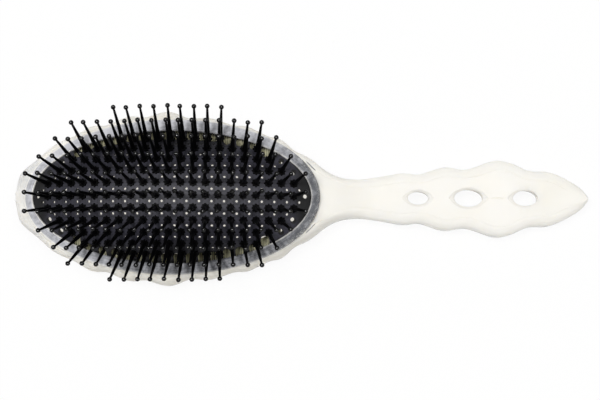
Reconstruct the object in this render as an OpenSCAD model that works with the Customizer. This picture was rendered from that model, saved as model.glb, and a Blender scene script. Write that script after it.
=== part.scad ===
// Detangling brush: a hollow translucent body in two welded shells, a perforated
// rubber pad clamped under an oval ring, and eleven rows of ball-ended pins.
// The brush lies on its back: +X towards the handle's tail, +Z the way the pins stand.

/* [Body] */
// Length from the head's end to the handle's tail
overall_length = 238; // [225:1:250]
// Width across the widest part of the head
head_width = 72.6; // [72:0.2:78]
// Height of the head from its back to the face under the ring
head_height = 19.8; // [19:0.1:21]
// Height of the handle
handle_height = 14.4; // [13:0.1:16]
// Height of the handle at its tail
tail_height = 11.6; // [11:0.1:13]
// Height of the weld seam between the two shells
seam_height = 7.2; // [6.4:0.1:8]
// Wall of the hollow handle and floor of the head
wall = 2; // [1.6:0.1:2.4]
// Rounding along the head's back edge
head_back_round = 5; // [3:0.1:5.5]
// Rounding along the head's front edge
head_front_round = 1.1; // [0.6:0.1:1.4]
// Rounding along the handle's back edge
handle_back_round = 4; // [2.5:0.1:4.5]
// Rounding along the handle's front edge
handle_front_round = 3.6; // [2.5:0.1:4.2]

/* [Handle holes] */
// Lengths of the three oval holes, head side first
hole_lengths = [8.2, 11.4, 9.9];
// Widths of the three oval holes, head side first
hole_widths = [5.2, 6.9, 6.2];
// Wall of the sleeve around each hole
sleeve_wall = 1.6; // [1.2:0.1:2]
// How far the eye-shaped recess runs past each end of its hole
eye_overrun = 2.2; // [1.5:0.1:2.6]
// Depth of the eye-shaped recesses and of the thumb dimple
recess_depth = 0.8; // [0.4:0.1:1]
// Diameter of the shallow dimple near the tail
dimple_d = 5; // [4:0.1:6]

/* [Ring] */
// Half length of the ring's inner edge
ring_inner_long = 57.1; // [56.9:0.1:57.3]
// Half width of the ring's inner edge
ring_inner_cross = 27.1; // [27:0.1:27.3]
// Width of the ring's face at the head's ends
ring_band_long = 3.6; // [3.4:0.1:3.8]
// Width of the ring's face along the head's sides
ring_band_cross = 4.7; // [4.5:0.1:4.8]
// Thickness of the ring
ring_thickness = 2; // [1.6:0.1:2.4]
// Chamfer along both edges of the ring's face
ring_chamfer = 0.5; // [0.3:0.1:0.7]

/* [Pad] */
// Height of the pad's crown above the head's face
crown_rise = 12.6; // [12.3:0.1:13.2]
// Radius of the pad's crown along the brush
crown_radius_long = 160; // [150:1:175]
// Radius of the pad's crown across the brush
crown_radius_cross = 36.6; // [36.2:0.1:37.4]
// Thickness of the rubber
pad_thickness = 1.2; // [1:0.1:1.3]
// Thickness of the clamped flange
flange_thickness = 1.3; // [1.2:0.1:1.5]
// Width of the flange that the ring covers
flange_reach = 2.7; // [2.4:0.1:2.8]
// Thickness of the curb that joins the pad to its flange
curb_thickness = 0.8; // [0.7:0.1:0.9]
// Diameter of a vent
vent_d = 1.2; // [0.8:0.1:1.4]
// Diameter of the wider holes past the row ends
end_hole_d = 1.7; // [1.4:0.1:1.9]
// How far the pad gives way under a press
press_travel = 2; // [1:0.1:2]

/* [Ribbed ring] */
// Thickness of the ribbed ring under the flange
ribbed_thickness = 2.2; // [2:0.1:2.4]
// How far the shelf reaches inwards
shelf_reach = 4.6; // [4:0.1:4.6]
// Width of one rib on the shelf
rib_w = 0.5; // [0.4:0.05:0.6]
// Height of the ribs above the shelf
rib_height = 0.4; // [0.3:0.1:0.5]

/* [Pins] */
// Distance between pins along and across the rows
pin_pitch = 5; // [4.98:0.01:5.02]
// Length of a pin from the pad to the middle of its ball
pin_length = 18.6; // [16:0.1:20]
// Diameter of the ball
ball_d = 1.9; // [1.6:0.1:2.1]
// Diameter of the shaft where it meets the ball
shaft_tip_d = 0.75; // [0.6:0.05:1]
// Diameter of the shaft where it leaves the star collar
shaft_root_d = 1.8; // [1.5:0.1:2]
// Diameter of the star collar across its points
star_d = 3.8; // [3.4:0.1:3.9]
// Diameter of the star collar across its inner corners
star_inner_d = 2.8; // [2.6:0.1:3]
// Thickness of the star collar
star_thickness = 0.8; // [0.6:0.1:1]
// Diameter of the stem that passes through the pad
stem_d = 1.1; // [0.9:0.1:1.2]
// Diameter of the bead that holds the pin under the pad
bead_d = 3; // [2.8:0.1:3.1]
// Thickness of that bead
bead_thickness = 0.6; // [0.5:0.1:0.8]
// How far a row of pins rocks each way, in degrees
rock_angle = 5; // [2:0.5:5]

/* [Fits] */
// Gap between a star collar or bead and the rubber
collar_clear = 0.3; // [0.25:0.05:0.35]
// Gap between a stem and its hole, before rocking
stem_clear = 0.25; // [0.2:0.05:0.3]
// Gap between the moving pad and its curb
curb_clear = 0.1; // [0.05:0.05:0.15]
// Gap between the clamped edges and the wall around them
seat_clear = 0.2; // [0.1:0.05:0.3]
// Gap left between the ribs and the pad's edge when it is pressed all the way
press_clear = 0.3; // [0.2:0.05:0.4]

/* [Hidden] */
// Places along the body from the head's end, and half widths, both as shares
outline_shares = [
  [0, 0], [0.0097, 0.237], [0.0185, 0.303], [0.0345, 0.421], [0.0487, 0.496],
  [0.0613, 0.576], [0.0697, 0.617], [0.0824, 0.661], [0.1034, 0.713],
  [0.1126, 0.747], [0.1265, 0.807], [0.1374, 0.84], [0.1584, 0.833],
  [0.1727, 0.871], [0.2025, 0.948], [0.2265, 0.927], [0.2685, 1],
  [0.3063, 0.917], [0.3395, 0.926], [0.387, 0.829], [0.4025, 0.837],
  [0.4462, 0.702], [0.4639, 0.689], [0.4828, 0.576], [0.4924, 0.526],
  [0.5038, 0.507], [0.5231, 0.427], [0.5387, 0.339], [0.5576, 0.266],
  [0.5798, 0.227], [0.6042, 0.219], [0.6303, 0.241], [0.6513, 0.264],
  [0.6723, 0.289], [0.6828, 0.292], [0.7034, 0.27], [0.7244, 0.314],
  [0.7504, 0.361], [0.7815, 0.326], [0.8076, 0.372], [0.8282, 0.423],
  [0.8437, 0.435], [0.8698, 0.388], [0.8903, 0.32], [0.9059, 0.309],
  [0.9214, 0.314], [0.942, 0.278], [0.9626, 0.211], [0.9832, 0.124], [1, 0]
];
// Height above the back as a share of the seam's height, and inset as a share of the rounding
back_edge_shares = [[0, 1], [0.12, 0.62], [0.32, 0.3], [0.62, 0.08], [1, 0]];
// Height above the seam as a share of what is left, and inset as a share of the rounding
front_edge_shares = [[0, 0], [0.35, 0.03], [0.62, 0.2], [0.84, 0.52], [1, 1]];
// Where the head's height starts and ends its fall to the handle's, along the body
neck_shares = [0.545, 0.625];
// Where the handle starts to thin towards its tail
tail_share = 0.86;
// Where the hollow ends, towards the tail
hollow_share = 0.966;
// Middles of the three holes, of the crease and of the dimple, along the body
hole_shares = [0.7027, 0.7892, 0.8866];
crease_shares = [0.827, 0.85];
dimple_share = 0.9438;
// Place of the pad's middle along the body
pad_share = 0.2798;
// Share of the ring's half length that has the ribbed shelf
ribbed_share = 0.78;
// How much closer the stations lie at the body's two ends
station_ease_share = 0.55;

body_stations = 92;
oval_points = 120;
sleeve_points = 48;
star_points = 8;
round_fn = 48;
small_fn = 24;
overrun = 1;
tip_half_w = 0.3;
crease_w = 0.5;
crease_depth = 0.4;
notch_tuck = 0.6;
seat_wall = 1.4;
ledge_thickness = 1.6;

// Last pin on each side of the middle column, from the middle row outwards
side_pin_counts = [10, 10, 9, 8, 7, 4];
// Places of the wider holes past the row ends, as shares of the pin pitch along and across
end_hole_shares = [[10.94, 0], [9.92, 1.9], [8.94, 2.86]];
// Notches along the pad's long edges: distance from its middle, width and depth
notch_sizes = [
  [2.5, 2.4, 3.8], [7.5, 2.4, 3.7], [12.5, 2.4, 3.6], [17.5, 2.4, 3.4],
  [22.9, 3, 3.6], [28.1, 3.2, 3.2], [33.6, 3.2, 2.8], [38.5, 3.2, 4]
];
rows_each_side = len(side_pin_counts) - 1;
row_count = 2 * rows_each_side + 1;

head_end_x = -overall_length / 2;
pad_x = head_end_x + pad_share * overall_length;
head_half_w = head_width / 2;
ring_outer_long = ring_inner_long + ring_band_long;
ring_outer_cross = ring_inner_cross + ring_band_cross;
flange_bottom = head_height - flange_thickness;
ribbed_bottom = flange_bottom - ribbed_thickness;
flange_long = ring_inner_long + flange_reach;
flange_cross = ring_inner_cross + flange_reach;
seat_long = flange_long + seat_clear;
seat_cross = flange_cross + seat_clear;
cup_long = ring_inner_long + curb_thickness / 2;
cup_cross = ring_inner_cross + curb_thickness / 2 + seat_clear;
panel_long = ring_inner_long - seat_clear - curb_thickness;
panel_cross = ring_inner_cross - seat_clear - curb_thickness;
crown_height = head_height + crown_rise;
pad_edge_height = crown_height - crown_radius_cross
  + sqrt(pow(crown_radius_cross - pad_thickness, 2) - pow(panel_cross, 2));
shelf_thickness = pad_edge_height - press_travel - press_clear - rib_height - ribbed_bottom;

// A smooth step from 0 to 1 as v goes from a to b
function ease(v, a, b) = let(t = max(0, min(1, (v - a) / (b - a)))) t * t * (3 - 2 * t);

// Squares of the outline's half widths, which make its two ends round
function station_x(i) = outline_shares[i][0] * overall_length;
function station_sq(i) = pow(outline_shares[i][1] * head_half_w, 2);
function last_station() = len(outline_shares) - 1;
function station_slope(i) =
  let(a = max(0, i - 1), b = min(last_station(), i + 1))
  (station_sq(b) - station_sq(a)) / (station_x(b) - station_x(a));
function segment(d, i = 0) =
  i >= last_station() - 1 || d < station_x(i + 1) ? i : segment(d, i + 1);

// Cubic through the stations: the square of the half width at a distance from the head's end
function width_sq(d) =
  let(
    i = segment(d),
    span = station_x(i + 1) - station_x(i),
    t = (d - station_x(i)) / span,
    h1 = t * t * (3 - 2 * t),
    m0 = t * (1 - t) * (1 - t) * span,
    m1 = t * t * (t - 1) * span
  )
  (1 - h1) * station_sq(i) + h1 * station_sq(i + 1)
    + m0 * station_slope(i) + m1 * station_slope(i + 1);
function half_w(d) = sqrt(max(0, width_sq(d)));

// Outward direction of the outline on its +Y side
function outward(d) =
  let(
    step = overall_length / 2000,
    a = max(0, d - step),
    b = min(overall_length, d + step),
    run = b - a,
    rise = half_w(b) - half_w(a)
  )
  [-rise, run] / norm([run, rise]);

// 0 over the head and 1 over the handle
function handle_part(d) =
  ease(d / overall_length, neck_shares[0], neck_shares[1]);
function body_height(d) =
  head_height + (handle_height - head_height) * handle_part(d)
    + (tail_height - handle_height) * ease(d / overall_length, tail_share, 1);
function back_round(d) = head_back_round + (handle_back_round - head_back_round) * handle_part(d);
function front_round(d) =
  head_front_round + (handle_front_round - head_front_round) * handle_part(d);

// One corner of a shell's surface: distance from the head's end, height, inset and side
function body_point(d, z, inset, side) =
  let(n = outward(d), w = half_w(d))
  [head_end_x + d - inset * n[0], side * max(tip_half_w, w - inset * n[1]), z];

// Cross-sections of the two shells; a skin above 0 gives the hollow, which opens past the seam
function back_corner(d, k, skin, side) =
  let(
    e = back_edge_shares[k],
    z = skin + e[0] * (seam_height - skin),
    inset = skin + e[1] * max(0, back_round(d) - skin)
  )
  body_point(d, skin > 0 && e[0] == 1 ? z + overrun : z, inset, side);
function front_corner(d, k, skin, side) =
  let(
    e = front_edge_shares[k],
    z = seam_height + e[0] * (body_height(d) - skin - seam_height),
    inset = skin + e[1] * max(0, front_round(d) - skin)
  )
  body_point(d, skin > 0 && e[0] == 0 ? z - overrun : z, inset, side);
function back_ring(d, skin) =
  let(last = len(back_edge_shares) - 1)
  [
    for (k = [0 : last]) back_corner(d, k, skin, 1),
    for (k = [last : -1 : 0]) back_corner(d, k, skin, -1)
  ];
function front_ring(d, skin) =
  let(last = len(front_edge_shares) - 1)
  [
    for (k = [0 : last]) front_corner(d, k, skin, 1),
    for (k = [last : -1 : 0]) front_corner(d, k, skin, -1)
  ];

// Closed surface through rings of points, with both end rings capped
module lofted(rings) {
  n = len(rings[0]);
  last = len(rings) - 1;
  sides = [
    for (i = [0 : last - 1], k = [0 : n - 1])
      let(a = i * n + k, b = i * n + (k + 1) % n)
      each [[a, a + n, b], [b, a + n, b + n]]
  ];
  caps = [
    for (k = [0 : n / 2 - 2])
      let(a = n - 1 - k, b = n - 2 - k, c = last * n)
      each [[k, k + 1, b], [k, b, a], [c + k, c + b, c + k + 1], [c + k, c + a, c + b]]
  ];
  polyhedron(points = [for (r = rings) each r], faces = concat(sides, caps));
}

// Stations along the whole body, closer together at its ends
function body_places() = [
  for (i = [0 : body_stations])
    let(s = i / body_stations)
    overall_length * (s - station_ease_share * sin(360 * s) / (2 * PI))
];
function hollow_places() = [
  for (d = body_places()) if (d > 0 && d < hollow_share * overall_length) d
];

module oval(long, cross, points = oval_points) {
  polygon([for (i = [0 : points - 1]) [long * cos(360 * i / points), cross * sin(360 * i / points)]]);
}

module oval_band(outer_long, outer_cross, inner_long, inner_cross) {
  difference() {
    oval(outer_long, outer_cross);
    oval(inner_long, inner_cross);
  }
}

module at_hole(i) {
  translate([head_end_x + hole_shares[i] * overall_length, 0, 0]) children();
}

module hole_sleeves(bottom, top) {
  for (i = [0 : len(hole_shares) - 1])
    at_hole(i) translate([0, 0, bottom]) linear_extrude(top - bottom)
      oval(hole_lengths[i] / 2 + sleeve_wall, hole_widths[i] / 2 + sleeve_wall, sleeve_points);
}

module hole_cuts() {
  for (i = [0 : len(hole_shares) - 1])
    at_hole(i) translate([0, 0, -overrun]) linear_extrude(handle_height + 2 * overrun)
      oval(hole_lengths[i] / 2, hole_widths[i] / 2, sleeve_points);
}

// The eye around a hole is where two equal circles cross
module eye_recess(i, floor_z) {
  long = hole_lengths[i] / 2 + eye_overrun;
  cross = hole_widths[i] / 2 + eye_overrun / 3;
  r = (long * long + cross * cross) / (2 * cross);
  at_hole(i) translate([0, 0, floor_z]) linear_extrude(handle_height)
    intersection() {
      translate([0, r - cross]) circle(r, $fn = 4 * round_fn);
      translate([0, cross - r]) circle(r, $fn = 4 * round_fn);
    }
}

module front_shell() {
  color([0.95, 0.93, 0.87]) difference() {
    union() {
      difference() {
        lofted([for (d = body_places()) front_ring(d, 0)]);
        lofted([for (d = hollow_places()) front_ring(d, wall)]);
      }
      hole_sleeves(seam_height, handle_height - wall / 2);
      translate([pad_x, 0, ribbed_bottom - ledge_thickness])
        linear_extrude(head_height - wall / 2 - ribbed_bottom + ledge_thickness)
          oval_band(seat_long + seat_wall, seat_cross + seat_wall, cup_long, cup_cross);
    }
    translate([pad_x, 0, ribbed_bottom]) linear_extrude(head_height)
      oval(seat_long, seat_cross);
    translate([pad_x, 0, seam_height - overrun]) linear_extrude(head_height)
      oval(cup_long, cup_cross);
    hole_cuts();
    for (i = [0 : len(hole_shares) - 1])
      eye_recess(i, handle_height - recess_depth);
    translate([head_end_x + dimple_share * overall_length, 0, dimple_floor()])
      cylinder(h = handle_height, d = dimple_d, $fn = round_fn);
    translate([head_end_x + crease_shares[0] * overall_length, -crease_w / 2,
        handle_height - crease_depth])
      cube([(crease_shares[1] - crease_shares[0]) * overall_length, crease_w, handle_height]);
  }
}
function dimple_floor() = body_height(dimple_share * overall_length) - recess_depth / 2;

module back_shell() {
  color([0.93, 0.91, 0.85]) difference() {
    union() {
      difference() {
        lofted([for (d = body_places()) back_ring(d, 0)]);
        lofted([for (d = hollow_places()) back_ring(d, wall)]);
      }
      hole_sleeves(wall / 2, seam_height);
    }
    hole_cuts();
  }
}

module retaining_ring() {
  color([0.66, 0.67, 0.71]) translate([pad_x, 0, head_height]) {
    linear_extrude(ring_thickness - ring_chamfer)
      oval_band(ring_outer_long, ring_outer_cross, ring_inner_long, ring_inner_cross);
    translate([0, 0, ring_thickness - ring_chamfer]) linear_extrude(ring_chamfer)
      oval_band(ring_outer_long - ring_chamfer, ring_outer_cross - ring_chamfer,
        ring_inner_long + ring_chamfer, ring_inner_cross + ring_chamfer);
  }
}

// A shelf with fine ribs across it runs along both long sides, under the notches
module ribbed_ring() {
  shelf_half = ribbed_share * ring_inner_long;
  rib_step = 2 * rib_w;
  rib_count = floor((shelf_half - rib_w) / rib_step);
  color([0.52, 0.52, 0.4]) translate([pad_x, 0, ribbed_bottom]) {
    linear_extrude(ribbed_thickness) oval_band(flange_long, flange_cross, cup_long, cup_cross);
    linear_extrude(shelf_thickness) intersection() {
      shelf_band();
      translate([-shelf_half, -flange_cross]) square(2 * [shelf_half, flange_cross]);
    }
    linear_extrude(shelf_thickness + rib_height) intersection() {
      shelf_band();
      for (i = [-rib_count : rib_count])
        translate([i * rib_step - rib_w / 2, -flange_cross]) square([rib_w, 2 * flange_cross]);
    }
  }
}
module shelf_band() {
  oval_band(flange_long, flange_cross, cup_long - shelf_reach, cup_cross - shelf_reach);
}

// The pad's crown is part of a torus whose axis lies under the pad along Y
module torus_cap(r) {
  sweep = 2 * asin(flange_long / (crown_radius_long - crown_radius_cross));
  depth = crown_height - ribbed_bottom;
  translate([0, 0, crown_height - crown_radius_long]) rotate([0, -90, -90])
    rotate([0, 0, -sweep / 2]) rotate_extrude(angle = sweep, $fn = 8 * round_fn)
      intersection() {
        translate([crown_radius_long - crown_radius_cross, 0]) circle(r, $fn = 8 * round_fn);
        translate([crown_radius_long - depth, -flange_cross]) square([depth, 2 * flange_cross]);
      }
}

// Round-bottomed notches between the pin columns, from just under the ring inwards
module edge_notches() {
  for (n = notch_sizes, sx = [-1, 1], sy = [-1, 1])
    let(
      x = sx * n[0],
      r = n[1] / 2,
      edge = ring_inner_cross * sqrt(1 - pow(x / ring_inner_long, 2)),
      bottom = edge - n[2] + r,
      top = edge + notch_tuck
    ) {
      translate([x, sy * bottom]) circle(r, $fn = small_fn);
      translate([x - r, sy > 0 ? bottom : -top]) square([n[1], top - bottom]);
    }
}

function row_angle(j) = j * pin_pitch / crown_radius_cross * 180 / PI;
function row_radius(j) = crown_radius_long - crown_radius_cross * (1 - cos(row_angle(j)));
function column_angle(i, j) = asin(i * pin_pitch / row_radius(j));

// Carries its children to the pad's surface, turned so that +Z is square to it
module on_pad(i, j) {
  translate([0, 0, crown_height - crown_radius_long]) rotate([0, column_angle(i, j), 0])
    translate([0, 0, crown_radius_long - crown_radius_cross]) rotate([-row_angle(j), 0, 0])
      translate([0, 0, crown_radius_cross]) children();
}

// A row rocks about one straight axis at half the height that its curved line of roots spans
function row_sag(j) =
  let(r = row_radius(j)) r * (1 - cos(column_angle(side_pin_counts[abs(j)], j)));
function stem_hole_d(j) =
  stem_d + 2 * stem_clear + row_sag(j) * sin(rock_angle);

module through_hole(d) {
  cylinder(h = 4 * pad_thickness, d = d, center = true, $fn = small_fn);
}

module vents() {
  for (a = [-10.5 : 10.5], b = [-4.5 : 4.5])
    let(
      outer = side_pin_counts[ceil(abs(b))],
      inside = abs(a) < outer + 1
    )
    if (inside) on_pad(a, b) through_hole(vent_d);
  for (p = end_hole_shares, sx = [-1, 1], sy = p[1] > 0 ? [-1, 1] : [1])
    on_pad(sx * p[0], sy * p[1]) through_hole(end_hole_d);
}

module stem_holes() {
  for (j = [-rows_each_side : rows_each_side])
    for (i = [-side_pin_counts[abs(j)] : side_pin_counts[abs(j)]])
      on_pad(i, j) through_hole(stem_hole_d(j));
}

module pad_panel() {
  color([0.16, 0.16, 0.18]) translate([pad_x, 0, 0]) difference() {
    intersection() {
      difference() {
        torus_cap(crown_radius_cross);
        torus_cap(crown_radius_cross - pad_thickness);
      }
      translate([0, 0, ribbed_bottom]) linear_extrude(crown_height) difference() {
        oval(panel_long, panel_cross);
        edge_notches();
      }
    }
    vents();
    stem_holes();
  }
}

module pad_skirt() {
  color([0.13, 0.13, 0.14]) translate([pad_x, 0, flange_bottom]) {
    linear_extrude(flange_thickness) difference() {
      oval_band(flange_long, flange_cross, panel_long + curb_clear, panel_cross + curb_clear);
      edge_notches();
    }
    intersection() {
      translate([0, 0, -flange_bottom]) torus_cap(crown_radius_cross);
      linear_extrude(crown_height) difference() {
        oval_band(ring_inner_long - seat_clear, ring_inner_cross - seat_clear,
          panel_long + curb_clear, panel_cross + curb_clear);
        edge_notches();
      }
    }
  }
}

module star(outer_d, inner_d) {
  polygon([
    for (k = [0 : 2 * star_points - 1])
      let(r = (k % 2 == 0 ? outer_d : inner_d) / 2, a = 180 * k / star_points)
      [r * cos(a), r * sin(a)]
  ]);
}

module pin() {
  under = pad_thickness + collar_clear;
  translate([0, 0, -under]) cylinder(h = under + collar_clear, d = stem_d, $fn = small_fn);
  translate([0, 0, -under - bead_thickness]) cylinder(h = bead_thickness, d = bead_d, $fn = small_fn);
  translate([0, 0, collar_clear]) {
    linear_extrude(star_thickness) star(star_d, star_inner_d);
    cylinder(h = pin_length - collar_clear, d1 = shaft_root_d, d2 = shaft_tip_d, $fn = small_fn);
  }
  translate([0, 0, pin_length]) sphere(d = ball_d, $fn = small_fn);
}

// Row 1 lies at -Y, row 6 runs down the middle and row 11 lies at +Y
module pin_row(number) {
  j = number - rows_each_side - 1;
  color([0.07, 0.07, 0.08]) translate([pad_x, 0, 0])
    for (i = [-side_pin_counts[abs(j)] : side_pin_counts[abs(j)]]) on_pad(i, j) pin();
}

front_shell();
back_shell();
retaining_ring();
ribbed_ring();
pad_skirt();
pad_panel();
pin_row(1);  // pin_row_01
pin_row(2);  // pin_row_02
pin_row(3);  // pin_row_03
pin_row(4);  // pin_row_04
pin_row(5);  // pin_row_05
pin_row(6);  // pin_row_06
pin_row(7);  // pin_row_07
pin_row(8);  // pin_row_08
pin_row(9);  // pin_row_09
pin_row(10);  // pin_row_10
pin_row(11);  // pin_row_11
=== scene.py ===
"""A detangling brush on its back.

It has a milky body of two shells, a frosted ring, a perforated rubber cushion and 183 ball-tipped pins.
"""

import logging
import math
from collections.abc import Sequence
from dataclasses import dataclass, field
from enum import Enum
from typing import Any

import bpy
import numpy as np
from mathutils import Euler, Matrix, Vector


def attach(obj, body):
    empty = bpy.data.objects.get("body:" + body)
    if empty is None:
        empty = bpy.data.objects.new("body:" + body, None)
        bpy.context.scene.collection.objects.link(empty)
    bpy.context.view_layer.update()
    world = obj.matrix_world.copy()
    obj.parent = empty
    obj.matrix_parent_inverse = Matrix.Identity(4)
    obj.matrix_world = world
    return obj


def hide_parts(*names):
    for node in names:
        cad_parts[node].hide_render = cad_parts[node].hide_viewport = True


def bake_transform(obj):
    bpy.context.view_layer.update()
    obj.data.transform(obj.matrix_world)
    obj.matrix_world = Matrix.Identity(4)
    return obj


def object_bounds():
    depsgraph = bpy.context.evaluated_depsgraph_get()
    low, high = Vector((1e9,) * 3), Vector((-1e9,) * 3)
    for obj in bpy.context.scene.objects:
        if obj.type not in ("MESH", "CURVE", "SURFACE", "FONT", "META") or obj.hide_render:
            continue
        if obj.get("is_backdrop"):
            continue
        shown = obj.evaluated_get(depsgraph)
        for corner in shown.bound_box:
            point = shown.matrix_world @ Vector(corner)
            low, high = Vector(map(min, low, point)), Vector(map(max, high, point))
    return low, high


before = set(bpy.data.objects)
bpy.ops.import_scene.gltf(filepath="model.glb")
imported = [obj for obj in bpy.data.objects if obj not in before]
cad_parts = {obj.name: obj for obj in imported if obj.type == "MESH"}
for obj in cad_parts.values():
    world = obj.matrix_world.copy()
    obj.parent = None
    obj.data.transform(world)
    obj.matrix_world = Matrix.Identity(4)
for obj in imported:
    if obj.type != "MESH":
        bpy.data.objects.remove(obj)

LOG = logging.getLogger("brush")
Array = np.ndarray
Colour = tuple[float, float, float]

# Sizes in millimetres that more than one piece or finish uses; X is zero half way along the brush
MM = 0.001
HEAD_MIDDLE = -52.4076
FACE_HEIGHT = 19.8
RING_INNER = (57.1, 27.1)
RING_OUTER = (60.7, 31.8)
CROWN_HEIGHT = 32.4
CROWN_LONG = 160.0
CROWN_CROSS = 36.6
PIN_PITCH = 5.0
PIN_LENGTH = 18.6


# Surfaces


@dataclass
class Form:
    """Closed surfaces: points in millimetres, and faces as one index array for each number of corners."""

    points: Array
    faces: list[Array]

    @staticmethod
    def joined(forms: Sequence["Form"]) -> "Form":
        """Several forms as one.

        Args:
            forms: the forms, which keep their own points.

        Returns:
            One form that holds them all.
        """
        starts = np.cumsum([0] + [len(f.points) for f in forms[:-1]])
        faces = [face + start for f, start in zip(forms, starts) for face in f.faces]
        return Form(np.concatenate([f.points for f in forms]), faces)

    def volume(self) -> float:
        """The signed volume: the sum over a fan of triangles of a . (b x c) / 6.

        Returns:
            The volume, below 0 where the faces point inwards.
        """
        total = 0.0
        for face in self.faces:
            a = self.points[face[:, 0]]
            for k in range(1, face.shape[1] - 1):
                b, c = self.points[face[:, k]], self.points[face[:, k + 1]]
                total += float(np.einsum("ij,ij->", a, np.cross(b, c))) / 6
        return total

    def outwards(self) -> "Form":
        """The same form with its faces pointing outwards."""
        return self if self.volume() > 0 else Form(self.points, [face[:, ::-1] for face in self.faces])

    def placed(
        self,
        places: "Places",
        wide: float = 1.0,
        lean: Array | None = None,
        foot: float = 0.0,
        bend: float = 1.0,
    ) -> "Form":
        """A copy of this form at each place.

        Args:
            places: where the copies stand and how they are turned.
            wide: a factor for X and Y.
            lean: how far each copy's top leans in its own X and Y (n, 2), or None.
            foot: the height at which the lean starts.
            bend: the power of the height with which the lean grows.

        Returns:
            All copies as one form: point = origin + base times the form's own point.
        """
        count = len(places.origins)
        local = np.broadcast_to(self.points, (count, *self.points.shape)).copy()
        local[..., :2] *= wide
        if lean is not None:
            z = self.points[:, 2]
            rise = np.clip((z - foot) / (z.max() - foot), 0, 1) ** bend
            local[..., :2] += rise[None, :, None] * lean[:, None]
        moved = np.einsum("nij,npj->npi", places.bases, local) + places.origins[:, None]
        shift = np.arange(count)[:, None, None] * len(self.points)
        faces = [(face[None] + shift).reshape(-1, face.shape[1]) for face in self.faces]
        return Form(moved.reshape(-1, 3), faces)

    def mesh(self, name: str, angle: float = 32.0) -> bpy.types.Mesh:
        """The form as a Blender mesh in metres.

        Args:
            name: the mesh's name.
            angle: edges sharper than this, in degrees, stay sharp.

        Returns:
            The mesh, with its faces pointing outwards.
        """
        faces = self.outwards().faces
        sizes = np.concatenate([np.full(len(f), f.shape[1]) for f in faces])
        loops = np.concatenate([f.ravel() for f in faces]).astype(np.int32)
        made = bpy.data.meshes.new(name)
        made.vertices.add(len(self.points))
        made.vertices.foreach_set("co", (self.points * MM).astype(np.float32).ravel())
        made.loops.add(len(loops))
        made.loops.foreach_set("vertex_index", loops)
        made.polygons.add(len(sizes))
        made.polygons.foreach_set("loop_start", (np.cumsum(sizes) - sizes).astype(np.int32))
        made.update(calc_edges=True)
        smooth(made, angle)
        return made


@dataclass
class Places:
    """Origins (n, 3) in millimetres, and bases (n, 3, 3) whose columns are each place's own axes."""

    origins: Array
    bases: Array


def smooth(mesh: bpy.types.Mesh, angle: float) -> None:
    """Shades a mesh smooth, apart from edges sharper than the angle in degrees."""
    mesh.shade_smooth()
    mesh.set_sharp_from_angle(angle=math.radians(angle))


def quads(rows: int, columns: int, round_rows: bool = False) -> Array:
    """Faces of a grid of points, whose rows are closed loops.

    Args:
        rows: how many rows of points there are.
        columns: how many points a row has.
        round_rows: whether the last row joins the first.

    Returns:
        The quads as an array of four indices each.
    """
    r = np.arange(rows if round_rows else rows - 1)[:, None]
    c = np.arange(columns)[None]
    up, on = (r + 1) % rows, (c + 1) % columns
    corners = (r * columns + c, r * columns + on, up * columns + on, up * columns + c)
    return np.stack(corners, -1).reshape(-1, 4)


def stacked(rings: Array) -> Form:
    """A closed form through rings of points, each joined to the next, with a flat face on both ends.

    Args:
        rings: the rings (k, n, 3), of n points each.

    Returns:
        The form.
    """
    k, n, _ = rings.shape
    ends = np.stack([np.arange(n)[::-1], (k - 1) * n + np.arange(n)])
    return Form(rings.reshape(-1, 3), [quads(k, n), ends])


def hooped(rings: Array) -> Form:
    """A closed ring: profiles of points (k, n, 3) round a loop, the last profile joined to the first."""
    k, n, _ = rings.shape
    return Form(rings.reshape(-1, 3), [quads(k, n, round_rows=True)])


def oval(long: float, cross: float, count: int) -> Array:
    """Points (count, 2) of the ellipse (long cos a, cross sin a)."""
    a = np.linspace(0, 2 * np.pi, count, endpoint=False)
    return np.stack([long * np.cos(a), cross * np.sin(a)], -1)


def quarter(count: int) -> tuple[Array, Array]:
    """A rounded edge of radius 1: distances from its two faces, one from 1 to 0 and one from 0 to 1."""
    a = np.linspace(0, np.pi / 2, count)
    return 1 - np.sin(a), 1 - np.cos(a)


def lifted(outlines: Sequence[Array], heights: Sequence[float], middle: Sequence[float] = (0, 0)) -> Form:
    """A closed form whose section is a given outline at each height.

    Args:
        outlines: outlines of equal length (n, 2), one for each height.
        heights: the heights, from low to high.
        middle: where the outlines' own zero lies.

    Returns:
        The form.
    """
    flat = np.stack(outlines) + np.asarray(middle, float)
    z = np.broadcast_to(np.asarray(heights, float)[:, None, None], (*flat.shape[:2], 1))
    return stacked(np.concatenate([flat, z], -1))


def turned(profile: Sequence[Sequence[float]], columns: int) -> Form:
    """A surface of revolution about Z, closed flat at both ends, through a profile of [radius, height]."""
    radii, heights = np.array(profile, float).T
    return lifted([oval(radius, radius, columns) for radius in radii], heights)


class Cut(Enum):
    """What a boolean does."""

    AWAY = "DIFFERENCE"
    ADD = "UNION"


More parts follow.
